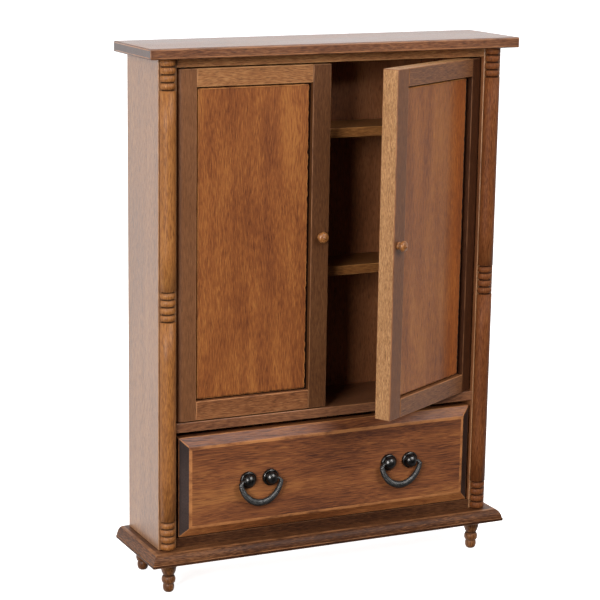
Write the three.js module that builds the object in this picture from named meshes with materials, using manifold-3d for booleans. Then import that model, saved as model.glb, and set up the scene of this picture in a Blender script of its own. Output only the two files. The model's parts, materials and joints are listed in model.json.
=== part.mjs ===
// Miniature wardrobe for a 1:12 dolls' house: a shallow carcass on a moulded base with four turned
// feet, a split-turned column on each front edge, two framed doors on pivot pins, two shelves, and
// one full-width drawer with two bail pulls.
//
// Millimetres, +Z up. The front faces -Y and +X is on the viewer's right. The origin is on the
// floor, midway between the side panels, in the plane of their front edges. The right door stands
// ajar; the left door and the drawer are shut, and the bails hang down.

import * as THREE from 'three';
import { mergeVertices } from 'three/addons/utils/BufferGeometryUtils.js';
import Module from 'manifold-3d';

const wasm = await Module();
wasm.setup();

// ---- driving dimensions -------------------------------------------------------------------

const HEIGHT = 175;
const CARCASS_WIDTH = 120.2;
const CARCASS_DEPTH = 26.3;
const GLUE_GAP = 0.05;              // left between glued pieces

const TOP_WIDTH = 128.5;
const TOP_THICKNESS = 3.4;
const TOP_FRONT_OVERHANG = 4.5;
const TOP_REAR_OVERHANG = 0.9;
const TOP_EASED_EDGE = 0.4;

const BASE_WIDTH = 128.4;
const BASE_THICKNESS = 4.05;
const BASE_FRONT_OVERHANG = 6.0;
const BASE_REAR_OVERHANG = 1.5;
const BASE_BAND = 1.1;              // upright band under the moulding
const BASE_STEP = 0.22;             // the moulding starts this far back from the band
const BASE_MOULDING_INSET = 2.2;

const SIDE_THICKNESS = 6.1;
const BOARD_THICKNESS = 3.1;        // shelves, middle board and bottom board
const CARCASS_TOP_THICKNESS = 2.9;
const BACK_THICKNESS = 1.5;
const SHELF_SETBACK = 7.0;
const UPPER_SHELF_TOP = 146.7;
const LOWER_SHELF_TOP = 101.5;
const MIDDLE_BOARD_TOP = 56.2;

const FOOT_HEIGHT = 10.8;
const FOOT_X = 56.1;
const FRONT_FOOT_Y = 1.3;
const REAR_FOOT_Y = 24.2;
const FOOT_TOP_RADIUS = 2.88;
const FOOT_TOE_RADIUS = 1.85;
const FOOT_TOE_HEIGHT = 3.0;
const FOOT_BEAD_RADIUS = 2.27;
const FOOT_BEAD_TOP = 5.6;
const FOOT_GROOVE_RADIUS = 1.62;
const FOOT_TENON_RADIUS = 1.3;
const FOOT_TENON_LENGTH = 3;

const COLUMN_X = 57.0;
const COLUMN_RADIUS = 2.65;
const COLUMN_BEAD_RADIUS = 2.6;
const COLUMN_GROOVE_RADIUS = 2.15;
const BEAD_PITCH = 2.38;
const BEADS_PER_GROUP = 4;
const MIDDLE_BEADS_CENTRE = 94.6;

const DOOR_THICKNESS = 5.6;
const DOOR_OUTER_X = 53.5;
const DOOR_MEETING_X = 1.3;
const DOOR_BOTTOM = 56.6;
const DOOR_TOP = 168.2;
const STILE_WIDTH = 6.3;
const TOP_RAIL_WIDTH = 5.7;
const BOTTOM_RAIL_WIDTH = 6.2;
const HINGE_CORNER_RADIUS = 2.2;    // lets the hinge edge turn beside the side panel
const PANEL_RECESS = 0.9;
const PANEL_FIELD_THICKNESS = 3.0;
const PANEL_REVEAL = 0.45;          // open line around the panel's field
const PANEL_CORNER_RADIUS = 1.6;
const TONGUE_THICKNESS = 1.4;
const TONGUE_REACH = 1.3;
const GROOVE_DEPTH = 1.5;
const RIGHT_DOOR_AJAR_DEG = 30;

const PIVOT_PIN_RADIUS = 0.45;
const PIVOT_PIN_IN_DOOR = 3.0;
const PIVOT_PIN_IN_BOARD = 1.6;
const PIVOT_HOLE_RADIUS = 0.52;

const KNOB_Z = 113.1;
const KNOB_INSET = 2.75;             // knob axis to the door's meeting edge
const SHANK_RADIUS = 0.6;           // wooden and metal shanks of knobs and pull posts
const SHANK_HOLE_RADIUS = 0.68;
const SHANK_LENGTH = 2.6;

const DRAWER_HALF_WIDTH = 53.0;
const DRAWER_TOP = 51.3;
const DRAWER_FRONT_SETBACK = 0.5;
const DRAWER_FIELD_RAISE = 2.0;
const DRAWER_BEVEL_WIDTH = 3.4;
const DRAWER_FRONT_THICKNESS = 5.2;
const DRAWER_BOX_WALL = 1.6;
const DRAWER_BOX_FLOOR = 1.2;
const DRAWER_BOX_TOP = 48.5;
const DRAWER_REAR_Y = 23.6;
const DRAWER_CLEARANCE = 0.12;      // above the bottom board

const PULL_X = 25.6;                // each pull's middle, left and right
const PULL_Z = 35.4;
const POST_SPACING = 7.9;
const POST_RADIUS = 2.8;
const POST_HEIGHT = 2.9;
const BAIL_STANDOFF = 1.65;         // bail's pivot axis in front of the drawer's field
const BAIL_HALF_WIDTH = 8.0;
const BAIL_DROP = 8.9;
const BAIL_INNER_HALF_WIDTH = 6.6;
const BAIL_INNER_DROP = 6.75;
const BAIL_THICKNESS = 1.8;
const BAIL_PIN_RADIUS = 0.4;
const BAIL_PIN_HOLE_RADIUS = 0.47;
const BAIL_PIN_END = 1.0;           // bail pin's inner end, from its post's centre

// ---- positions worked out from them --------------------------------------------------------

const halfWidth = CARCASS_WIDTH / 2;
const innerHalfWidth = halfWidth - SIDE_THICKNESS;
const baseTop = FOOT_HEIGHT + BASE_THICKNESS;
const topUnderside = HEIGHT - TOP_THICKNESS;
const carcassTopUnderside = topUnderside - CARCASS_TOP_THICKNESS;
const bottomBoardTop = baseTop + BOARD_THICKNESS;
const middleBoardUnderside = MIDDLE_BOARD_TOP - BOARD_THICKNESS;
const backFront = CARCASS_DEPTH - BACK_THICKNESS;
const pivotX = DOOR_OUTER_X - DOOR_THICKNESS / 2;
const pivotY = DOOR_THICKNESS / 2;
const drawerBottom = bottomBoardTop + DRAWER_CLEARANCE;
const drawerFieldY = DRAWER_FRONT_SETBACK - DRAWER_FIELD_RAISE;
const drawerFrontBackY = drawerFieldY + DRAWER_FRONT_THICKNESS;

// ---- finishes ------------------------------------------------------------------------------

const FINISHES = {
  carcass: { color: 0x8f5f3a, roughness: 0.45, metalness: 0 },
  turned: { color: 0xa8703f, roughness: 0.4, metalness: 0 },
  frame: { color: 0x74452a, roughness: 0.42, metalness: 0 },
  panel: { color: 0x95552c, roughness: 0.4, metalness: 0 },
  interior: { color: 0x4a2a18, roughness: 0.6, metalness: 0 },
  bronze: { color: 0x3e3a38, roughness: 0.35, metalness: 0.9 },
  steel: { color: 0x8d8d8a, roughness: 0.3, metalness: 0.95 },
};

function addPart(parent, name, geometry, finish) {
  const mesh = new THREE.Mesh(geometry, new THREE.MeshStandardMaterial(FINISHES[finish]));
  mesh.name = name;
  parent.add(mesh);
}

// ---- solid helpers -------------------------------------------------------------------------

// A closed mesh as a manifold solid: shared vertices welded, collapsed triangles dropped.
function toSolid(geometry) {
  const bare = geometry.clone();
  bare.deleteAttribute('normal');
  bare.deleteAttribute('uv');
  const welded = mergeVertices(bare, 1e-4);
  const corners = welded.index.array;
  const triangles = [];
  for (let i = 0; i < corners.length; i += 3) {
    const [a, b, c] = corners.slice(i, i + 3);
    if (a !== b && b !== c && c !== a) triangles.push(a, b, c);
  }
  return new wasm.Manifold(new wasm.Mesh({
    numProp: 3,
    vertProperties: new Float32Array(welded.attributes.position.array),
    triVerts: new Uint32Array(triangles),
  }));
}

function toGeometry(solid) {
  const mesh = solid.getMesh();
  const geometry = new THREE.BufferGeometry();
  geometry.setAttribute('position', new THREE.BufferAttribute(mesh.vertProperties, 3));
  geometry.setIndex(new THREE.BufferAttribute(mesh.triVerts, 1));
  geometry.computeVertexNormals();
  return geometry;
}

function cut(geometry, cutters) {
  let solid = toSolid(geometry);
  for (const cutter of cutters) solid = solid.subtract(toSolid(cutter));
  return toGeometry(solid);
}

function join(geometry, others) {
  let solid = toSolid(geometry);
  for (const other of others) solid = solid.add(toSolid(other));
  return toGeometry(solid);
}

function intersect(first, second) {
  return toGeometry(toSolid(first).intersect(toSolid(second)));
}

// A box from its lowest and highest coordinate along each axis, given in either order.
function box(x, y, z) {
  const size = [x, y, z].map(([a, b]) => Math.abs(b - a));
  const middle = [x, y, z].map(([a, b]) => (a + b) / 2);
  return new THREE.BoxGeometry(...size).translate(...middle);
}

function cylinder(radius, length, segments = 16) {
  return new THREE.CylinderGeometry(radius, radius, length, segments);
}

function pinAlongZ(radius, x, y, z0, z1) {
  return cylinder(radius, z1 - z0).rotateX(Math.PI / 2).translate(x, y, (z0 + z1) / 2);
}

function pinAlongY(radius, x, z, y0, y1) {
  return cylinder(radius, y1 - y0).translate(x, (y0 + y1) / 2, z);
}

function pinAlongX(radius, y, z, x0, x1) {
  const length = Math.abs(x1 - x0);
  return cylinder(radius, length).rotateZ(Math.PI / 2).translate((x0 + x1) / 2, y, z);
}

// Outlines are THREE.Shape objects or point lists. Each extrusion names the axis it runs along.
function asShape(outline) {
  return outline instanceof THREE.Shape ? outline : new THREE.Shape(outline);
}

function extrude(outline, length, curveSegments) {
  const options = { depth: length, bevelEnabled: false, curveSegments };
  return new THREE.ExtrudeGeometry(asShape(outline), options);
}

function extrudeAlongZ(outlineXY, z0, z1, curveSegments = 6) {
  return extrude(outlineXY, z1 - z0, curveSegments).translate(0, 0, z0);
}

function extrudeAlongX(outlineYZ, x0, x1, curveSegments = 6) {
  return extrude(outlineYZ, x1 - x0, curveSegments)
    .applyMatrix4(new THREE.Matrix4().makeBasis(
      new THREE.Vector3(0, 1, 0), new THREE.Vector3(0, 0, 1), new THREE.Vector3(1, 0, 0)))
    .translate(x0, 0, 0);
}

function extrudeAlongY(outlineXZ, y0, y1, curveSegments = 6) {
  return extrude(outlineXZ, y1 - y0, curveSegments)
    .rotateX(Math.PI / 2)
    .translate(0, y1, 0);
}

// Turned pieces: the profile's first value is the radius and its second runs along the axis.
function turnAlongZ(profile, segments) {
  const points = profile.map(([radius, along]) => new THREE.Vector2(radius, along));
  return new THREE.LatheGeometry(points, segments).rotateX(Math.PI / 2);
}

function turnTowardsFront(profile, segments) {
  const points = profile.map(([radius, along]) => new THREE.Vector2(radius, along));
  return new THREE.LatheGeometry(points, segments).rotateX(Math.PI);
}

// Points of a round bead between two heights, bulging from a groove radius to a crown radius.
function bead(low, high, grooveRadius, crownRadius, steps) {
  const points = [];
  for (let i = 0; i <= steps; i += 1) {
    const angle = Math.PI * i / steps;
    const middle = (low + high) / 2;
    const along = middle - Math.cos(angle) * (high - low) / 2;
    points.push([grooveRadius + (crownRadius - grooveRadius) * Math.sin(angle), along]);
  }
  return points;
}

// ---- carcass -------------------------------------------------------------------------------

function topBoard() {
  const w = TOP_WIDTH / 2;
  const outline = new THREE.Shape([
    new THREE.Vector2(-w, -TOP_FRONT_OVERHANG),
    new THREE.Vector2(w, -TOP_FRONT_OVERHANG),
    new THREE.Vector2(w, CARCASS_DEPTH + TOP_REAR_OVERHANG),
    new THREE.Vector2(-w, CARCASS_DEPTH + TOP_REAR_OVERHANG),
  ]);
  return new THREE.ExtrudeGeometry(outline, {
    depth: TOP_THICKNESS - 2 * TOP_EASED_EDGE,
    bevelSize: TOP_EASED_EDGE,
    bevelThickness: TOP_EASED_EDGE,
    bevelOffset: -TOP_EASED_EDGE,
    bevelSegments: 2,
  }).translate(0, 0, topUnderside + TOP_EASED_EDGE);
}

// The moulding's points from the upright band up to the board's top, as [inset, height].
function baseMoulding() {
  const bandTop = FOOT_HEIGHT + BASE_BAND;
  const curve = new THREE.QuadraticBezierCurve(
    new THREE.Vector2(BASE_STEP, bandTop),
    new THREE.Vector2(BASE_STEP + 0.4, baseTop - 0.55),
    new THREE.Vector2(BASE_MOULDING_INSET, baseTop));
  return [[0, bandTop], ...curve.getPoints(6).map((point) => [point.x, point.y])];
}

// Front and side mouldings meet in mitres: two extrusions crossed at right angles.
function baseBoard() {
  const w = BASE_WIDTH / 2;
  const front = -BASE_FRONT_OVERHANG;
  const rear = CARCASS_DEPTH + BASE_REAR_OVERHANG;
  const moulding = baseMoulding();
  const rightEdge = moulding.map(([inset, z]) => new THREE.Vector2(w - inset, z));
  const leftEdge = moulding.map(([inset, z]) => new THREE.Vector2(inset - w, z)).reverse();
  const across = [
    new THREE.Vector2(-w, FOOT_HEIGHT),
    new THREE.Vector2(w, FOOT_HEIGHT),
    ...rightEdge,
    ...leftEdge,
  ];
  const frontEdge = moulding.map(([inset, z]) => new THREE.Vector2(front + inset, z)).reverse();
  const along = [
    new THREE.Vector2(front, FOOT_HEIGHT),
    new THREE.Vector2(rear, FOOT_HEIGHT),
    new THREE.Vector2(rear, baseTop),
    ...frontEdge,
  ];
  const board = intersect(
    extrudeAlongY(across, front - 1, rear + 1),
    extrudeAlongX(along, -w - 1, w + 1));
  const holeRadius = FOOT_TENON_RADIUS + GLUE_GAP;
  const holeTop = FOOT_HEIGHT + FOOT_TENON_LENGTH + GLUE_GAP;
  const holes = footPlaces().map(({ x, y }) =>
    pinAlongZ(holeRadius, x, y, FOOT_HEIGHT - 1, holeTop));
  return cut(board, holes);
}

function footPlaces() {
  return [
    { name: 'front_left', x: -FOOT_X, y: FRONT_FOOT_Y },
    { name: 'front_right', x: FOOT_X, y: FRONT_FOOT_Y },
    { name: 'rear_left', x: -FOOT_X, y: REAR_FOOT_Y },
    { name: 'rear_right', x: FOOT_X, y: REAR_FOOT_Y },
  ];
}

// Rounded toe, groove, bead, then a wide swelling taper up to the base, and a tenon.
function foot() {
  const shoulder = FOOT_HEIGHT - GLUE_GAP;
  const toe = new THREE.CubicBezierCurve(
    new THREE.Vector2(0.9, 0),
    new THREE.Vector2(1.9, 0.1),
    new THREE.Vector2(FOOT_TOE_RADIUS + 0.25, 2.2),
    new THREE.Vector2(FOOT_GROOVE_RADIUS, FOOT_TOE_HEIGHT));
  const taper = new THREE.QuadraticBezierCurve(
    new THREE.Vector2(FOOT_GROOVE_RADIUS + 0.08, FOOT_BEAD_TOP),
    new THREE.Vector2(2.65, 7.4),
    new THREE.Vector2(FOOT_TOP_RADIUS, shoulder));
  const rings = (curve, count) => curve.getPoints(count).map((point) => [point.x, point.y]);
  const ankleBead = bead(FOOT_TOE_HEIGHT, FOOT_BEAD_TOP, FOOT_GROOVE_RADIUS, FOOT_BEAD_RADIUS, 5);
  return turnAlongZ([
    [0, 0],
    ...rings(toe, 5),
    ...ankleBead.slice(1),
    ...rings(taper, 4).slice(1),
    [FOOT_TENON_RADIUS, shoulder],
    [FOOT_TENON_RADIUS, FOOT_HEIGHT + FOOT_TENON_LENGTH],
    [0, FOOT_HEIGHT + FOOT_TENON_LENGTH],
  ], 18);
}

// A turned column with bead groups at its foot, middle and head, split in half lengthwise.
function column() {
  const low = baseTop + GLUE_GAP;
  const high = topUnderside - GLUE_GAP;
  const groupLength = BEAD_PITCH * BEADS_PER_GROUP;
  const groups = [low, MIDDLE_BEADS_CENTRE - groupLength / 2, high - groupLength];
  const profile = [[0, low]];
  for (const start of groups) {
    if (start > low) profile.push([COLUMN_RADIUS, start - 0.25]);
    for (let i = 0; i < BEADS_PER_GROUP; i += 1) {
      const beadLow = start + i * BEAD_PITCH;
      const points = bead(beadLow, beadLow + BEAD_PITCH, COLUMN_GROOVE_RADIUS, COLUMN_BEAD_RADIUS, 4);
      profile.push(...(i === 0 ? points : points.slice(1)));
    }
    if (start + groupLength < high - 1) profile.push([COLUMN_RADIUS, start + groupLength + 0.25]);
  }
  profile.push([0, high]);
  const rearHalf = box([-4, 4], [-GLUE_GAP, 4], [0, HEIGHT]);
  return cut(turnAlongZ(profile, 20), [rearHalf]);
}

function pivotHole(side, z0, z1) {
  return pinAlongZ(PIVOT_HOLE_RADIUS, side * pivotX, pivotY, z0, z1);
}

function carcass() {
  const group = new THREE.Group();
  const across = [-innerHalfWidth + GLUE_GAP, innerHalfWidth - GLUE_GAP];
  const front = 0;
  const backOfBoards = backFront - GLUE_GAP;
  addPart(group, 'top_board', topBoard(), 'carcass');
  addPart(group, 'base_board', baseBoard(), 'carcass');
  for (const place of footPlaces()) {
    addPart(group, `foot_${place.name}`, foot().translate(place.x, place.y, 0), 'turned');
  }
  for (const [side, word] of [[-1, 'left'], [1, 'right']]) {
    const x = [side * innerHalfWidth, side * halfWidth];
    const z = [baseTop + GLUE_GAP, topUnderside - GLUE_GAP];
    addPart(group, `side_panel_${word}`, box(x, [front, CARCASS_DEPTH], z), 'carcass');
    addPart(group, `column_${word}`, column().translate(side * COLUMN_X, 0, 0), 'turned');
  }
  addPart(group, 'back_panel', box(across, [backFront, CARCASS_DEPTH],
    [baseTop + GLUE_GAP, topUnderside - GLUE_GAP]), 'interior');
  const carcassTop = box(across, [front, backOfBoards],
    [carcassTopUnderside, topUnderside - GLUE_GAP]);
  const upperHoleEnd = carcassTopUnderside + PIVOT_PIN_IN_BOARD + 0.2;
  addPart(group, 'carcass_top', cut(carcassTop, [-1, 1].map((side) =>
    pivotHole(side, carcassTopUnderside - 1, upperHoleEnd))), 'frame');
  const middleBoard = box(across, [front, backOfBoards], [middleBoardUnderside, MIDDLE_BOARD_TOP]);
  const lowerHoleEnd = MIDDLE_BOARD_TOP - PIVOT_PIN_IN_BOARD - 0.2;
  addPart(group, 'middle_board', cut(middleBoard, [-1, 1].map((side) =>
    pivotHole(side, lowerHoleEnd, MIDDLE_BOARD_TOP + 1))), 'carcass');
  addPart(group, 'bottom_board', box(across, [front, backOfBoards],
    [baseTop + GLUE_GAP, bottomBoardTop]), 'carcass');
  for (const [name, top] of [['upper_shelf', UPPER_SHELF_TOP], ['lower_shelf', LOWER_SHELF_TOP]]) {
    addPart(group, name, box(across, [SHELF_SETBACK, backOfBoards],
      [top - BOARD_THICKNESS, top]), 'interior');
  }
  return group;
}

// ---- doors ---------------------------------------------------------------------------------

// A door is drawn shut, from its pivot axis: reach runs from the pivot to the meeting edge, and
// local y = 0 is the middle of its thickness. side is -1 for the left door and +1 for the right.
function door(side, word) {
  const group = new THREE.Group();
  const half = DOOR_THICKNESS / 2;
  const width = DOOR_OUTER_X - DOOR_MEETING_X;
  const hingeEdge = -half;
  const meetingEdge = width - half;
  const hingeInner = hingeEdge + STILE_WIDTH;
  const meetingInner = meetingEdge - STILE_WIDTH;
  const bottomInner = DOOR_BOTTOM + BOTTOM_RAIL_WIDTH;
  const topInner = DOOR_TOP - TOP_RAIL_WIDTH;
  const toX = (reach) => -side * reach;
  const grooveHalf = TONGUE_THICKNESS / 2 + GLUE_GAP;
  const tenonHalf = TONGUE_THICKNESS / 2;

  const addDoorPart = (name, geometry, finish) =>
    addPart(group, `${word}_door_${name}`, geometry, finish);

  const pivotPin = (radius, z0, z1) => pinAlongZ(radius, 0, 0, z0, z1);
  const pinHoles = [
    pivotPin(PIVOT_PIN_RADIUS + GLUE_GAP, DOOR_BOTTOM - 1, DOOR_BOTTOM + PIVOT_PIN_IN_DOOR + 0.1),
    pivotPin(PIVOT_PIN_RADIUS + GLUE_GAP, DOOR_TOP - PIVOT_PIN_IN_DOOR - 0.1, DOOR_TOP + 1),
  ];

  // Plan outline of a stile with its outer edge at one reach and its grooved edge at the other.
  const stileOutline = (outer, inner, cornerRadius) => {
    const inward = Math.sign(inner - outer);
    const outline = new THREE.Path();
    outline.moveTo(inner, -half);
    outline.lineTo(inner, -grooveHalf);
    outline.lineTo(inner - inward * GROOVE_DEPTH, -grooveHalf);
    outline.lineTo(inner - inward * GROOVE_DEPTH, grooveHalf);
    outline.lineTo(inner, grooveHalf);
    outline.lineTo(inner, half);
    outline.lineTo(outer, half);
    outline.lineTo(outer, cornerRadius - half);
    if (cornerRadius > 0) {
      outline.quadraticCurveTo(outer, -half, outer + inward * cornerRadius, -half);
    }
    return outline.getPoints(6).map((point) => new THREE.Vector2(toX(point.x), point.y));
  };

  const hingeStile = extrudeAlongZ(
    stileOutline(hingeEdge, hingeInner, HINGE_CORNER_RADIUS), DOOR_BOTTOM, DOOR_TOP);
  addDoorPart('hinge_stile', cut(hingeStile, pinHoles), 'frame');

  const knobReach = meetingEdge - KNOB_INSET;
  const meetingStile = extrudeAlongZ(
    stileOutline(meetingEdge, meetingInner, 0), DOOR_BOTTOM, DOOR_TOP);
  const shankHole = pinAlongY(
    SHANK_HOLE_RADIUS, toX(knobReach), KNOB_Z, -half - 1, -half + SHANK_LENGTH + 0.2);
  addDoorPart('meeting_stile', cut(meetingStile, [shankHole]), 'frame');

  // Upright section of a rail, grooved on its inner edge, with a stub tenon at each end.
  const rail = (outerZ, innerZ) => {
    const inward = Math.sign(innerZ - outerZ);
    const section = [
      [-half, outerZ], [half, outerZ], [half, innerZ], [grooveHalf, innerZ],
      [grooveHalf, innerZ - inward * GROOVE_DEPTH], [-grooveHalf, innerZ - inward * GROOVE_DEPTH],
      [-grooveHalf, innerZ], [-half, innerZ],
    ].map(([y, z]) => new THREE.Vector2(y, z));
    const ends = [toX(hingeInner + GLUE_GAP), toX(meetingInner - GLUE_GAP)].sort((a, b) => a - b);
    const tenonEnds = [toX(hingeInner - TONGUE_REACH), toX(meetingInner + TONGUE_REACH)];
    const tenon = box(tenonEnds, [-tenonHalf, tenonHalf], [outerZ, innerZ - inward * GROOVE_DEPTH]);
    return join(extrudeAlongX(section, ends[0], ends[1]), [tenon]);
  };
  addDoorPart('top_rail', rail(DOOR_TOP, topInner), 'frame');
  addDoorPart('bottom_rail', rail(DOOR_BOTTOM, bottomInner), 'frame');

  const tongue = box(
    [toX(hingeInner - TONGUE_REACH), toX(meetingInner + TONGUE_REACH)],
    [-tenonHalf, tenonHalf],
    [bottomInner - TONGUE_REACH, topInner + TONGUE_REACH]);
  const fieldFront = PANEL_RECESS - half;
  const field = extrudeAlongY(
    roundedRectangle(
      [toX(hingeInner + PANEL_REVEAL), toX(meetingInner - PANEL_REVEAL)],
      [bottomInner + PANEL_REVEAL, topInner - PANEL_REVEAL],
      PANEL_CORNER_RADIUS),
    fieldFront, fieldFront + PANEL_FIELD_THICKNESS);
  addDoorPart('panel', join(field, [tongue]), 'panel');

  addDoorPart('knob', knob().translate(toX(knobReach), -half - GLUE_GAP, KNOB_Z), 'turned');

  addDoorPart('bottom_pivot', pivotPin(
    PIVOT_PIN_RADIUS, MIDDLE_BOARD_TOP - PIVOT_PIN_IN_BOARD, DOOR_BOTTOM + PIVOT_PIN_IN_DOOR),
  'steel');
  addDoorPart('top_pivot', pivotPin(
    PIVOT_PIN_RADIUS, DOOR_TOP - PIVOT_PIN_IN_DOOR, carcassTopUnderside + PIVOT_PIN_IN_BOARD),
  'steel');

  group.position.set(side * pivotX, pivotY, 0);
  return group;
}

function roundedRectangle(xSpan, zSpan, radius) {
  const [x0, x1] = [...xSpan].sort((a, b) => a - b);
  const [z0, z1] = zSpan;
  const shape = new THREE.Shape();
  shape.moveTo(x0 + radius, z0);
  shape.lineTo(x1 - radius, z0);
  shape.absarc(x1 - radius, z0 + radius, radius, -Math.PI / 2, 0, false);
  shape.absarc(x1 - radius, z1 - radius, radius, 0, Math.PI / 2, false);
  shape.absarc(x0 + radius, z1 - radius, radius, Math.PI / 2, Math.PI, false);
  shape.absarc(x0 + radius, z0 + radius, radius, Math.PI, Math.PI * 1.5, false);
  return shape;
}

// Turned wooden knob with a shank behind its face plane: collar, neck, mushroom head and tip.
function knob() {
  return turnTowardsFront([
    [0, -SHANK_LENGTH],
    [SHANK_RADIUS, -SHANK_LENGTH],
    [SHANK_RADIUS, 0],
    [1.25, 0],
    [1.3, 0.25],
    [0.95, 0.75],
    [1.0, 1.0],
    [1.5, 1.2],
    [1.8, 1.6],
    [1.72, 2.1],
    [1.3, 2.55],
    [0.6, 2.8],
    [0.45, 3.0],
    [0.25, 3.15],
    [0, 3.2],
  ], 20);
}

// ---- drawer --------------------------------------------------------------------------------

// A raised field with mitred bevels on all four edges: two extrusions crossed at right angles.
function drawerFront() {
  const w = DRAWER_HALF_WIDTH;
  const bevel = DRAWER_BEVEL_WIDTH;
  const plan = [
    [-w, drawerFrontBackY], [-w, DRAWER_FRONT_SETBACK], [-w + bevel, drawerFieldY],
    [w - bevel, drawerFieldY], [w, DRAWER_FRONT_SETBACK], [w, drawerFrontBackY],
  ].map(([x, y]) => new THREE.Vector2(x, y));
  const section = [
    [drawerFrontBackY, drawerBottom], [drawerFrontBackY, DRAWER_TOP],
    [DRAWER_FRONT_SETBACK, DRAWER_TOP], [drawerFieldY, DRAWER_TOP - bevel],
    [drawerFieldY, drawerBottom + bevel], [DRAWER_FRONT_SETBACK, drawerBottom],
  ].map(([y, z]) => new THREE.Vector2(y, z));
  const front = intersect(
    extrudeAlongZ(plan, drawerBottom - 1, DRAWER_TOP + 1),
    extrudeAlongX(section, -w - 1, w + 1));
  const shankHoles = postPlaces().map(({ x }) => pinAlongY(
    SHANK_HOLE_RADIUS, x, PULL_Z, drawerFieldY - 1, drawerFieldY + SHANK_LENGTH + 0.2));
  return cut(front, shankHoles);
}

function postPlaces() {
  const places = [];
  for (const [pullX, word] of [[-PULL_X, 'left'], [PULL_X, 'right']]) {
    for (const [side, end] of [[-1, 'left'], [1, 'right']]) {
      places.push({ name: `${word}_pull_${end}_post`, x: pullX + side * POST_SPACING / 2, side });
    }
  }
  return places;
}

// Domed metal post with a shank; its outer flank is drilled for the bail's end.
function pullPost(side) {
  const dome = [];
  for (let i = 0; i <= 5; i += 1) {
    const angle = Math.PI / 2 * i / 5;
    dome.push([POST_RADIUS * Math.cos(angle), POST_HEIGHT * Math.sin(angle)]);
  }
  dome[dome.length - 1][0] = 0;
  const post = turnTowardsFront(
    [[0, -SHANK_LENGTH], [SHANK_RADIUS, -SHANK_LENGTH], [SHANK_RADIUS, 0], ...dome], 20);
  const drilled = pinAlongX(
    BAIL_PIN_HOLE_RADIUS, -BAIL_STANDOFF, 0,
    side * (BAIL_PIN_END - 0.15), side * (POST_RADIUS + 1));
  return cut(post, [drilled]);
}

// Crescent bail in its own plane, thick at the bottom, with a pin turned in at each end.
function bail() {
  const endRadius = (BAIL_HALF_WIDTH - BAIL_INNER_HALF_WIDTH) / 2;
  const endX = BAIL_INNER_HALF_WIDTH + endRadius;
  const outline = new THREE.Shape();
  outline.absellipse(0, 0, BAIL_HALF_WIDTH, BAIL_DROP, Math.PI, 2 * Math.PI, false, 0);
  outline.absarc(endX, 0, endRadius, 0, Math.PI, false);
  outline.absellipse(0, 0, BAIL_INNER_HALF_WIDTH, BAIL_INNER_DROP, 2 * Math.PI, Math.PI, true, 0);
  outline.absarc(-endX, 0, endRadius, 0, Math.PI, false);
  const edge = 0.45;
  const ring = new THREE.ExtrudeGeometry(outline, {
    depth: BAIL_THICKNESS - 2 * edge,
    bevelSize: edge,
    bevelThickness: edge,
    bevelOffset: -edge,
    bevelSegments: 1,
    curveSegments: 9,
  }).translate(0, 0, edge - BAIL_THICKNESS / 2).rotateX(Math.PI / 2);
  const pins = [-1, 1].map((side) => pinAlongX(
    BAIL_PIN_RADIUS, 0, 0, side * (POST_SPACING / 2 + BAIL_PIN_END), side * endX));
  return join(ring, pins);
}

function drawer() {
  const group = new THREE.Group();
  const outer = DRAWER_HALF_WIDTH - 0.4;
  const inner = outer - DRAWER_BOX_WALL;
  const boxFront = drawerFrontBackY + GLUE_GAP;
  const rearInner = DRAWER_REAR_Y - DRAWER_BOX_WALL;
  const floorTop = drawerBottom + DRAWER_BOX_FLOOR;
  addPart(group, 'drawer_front', drawerFront(), 'panel');
  for (const [side, word] of [[-1, 'left'], [1, 'right']]) {
    addPart(group, `drawer_side_${word}`, box([side * inner, side * outer],
      [boxFront, DRAWER_REAR_Y], [drawerBottom, DRAWER_BOX_TOP]), 'interior');
  }
  const between = [-inner + GLUE_GAP, inner - GLUE_GAP];
  addPart(group, 'drawer_back', box(between, [rearInner, DRAWER_REAR_Y],
    [floorTop + GLUE_GAP, DRAWER_BOX_TOP]), 'interior');
  addPart(group, 'drawer_bottom', box(between, [boxFront, DRAWER_REAR_Y],
    [drawerBottom, floorTop]), 'interior');
  for (const { name, x, side } of postPlaces()) {
    addPart(group, name, pullPost(side).translate(x, drawerFieldY - GLUE_GAP, PULL_Z), 'bronze');
  }
  for (const [pullX, word] of [[-PULL_X, 'left'], [PULL_X, 'right']]) {
    const pivot = drawerFieldY - GLUE_GAP - BAIL_STANDOFF;
    addPart(group, `${word}_pull_bail`, bail().translate(pullX, pivot, PULL_Z), 'bronze');
  }
  return group;
}

// ---- assembly ------------------------------------------------------------------------------

const wardrobe = new THREE.Group();
wardrobe.add(carcass());
wardrobe.add(door(-1, 'left'));
const rightDoor = door(1, 'right');
rightDoor.rotation.z = THREE.MathUtils.degToRad(RIGHT_DOOR_AJAR_DEG);
wardrobe.add(rightDoor);
wardrobe.add(drawer());

export default wardrobe;
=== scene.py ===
import json
import math

import bmesh
import bpy
from mathutils import Matrix, Vector
from mathutils import noise as mathutils_noise


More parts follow.
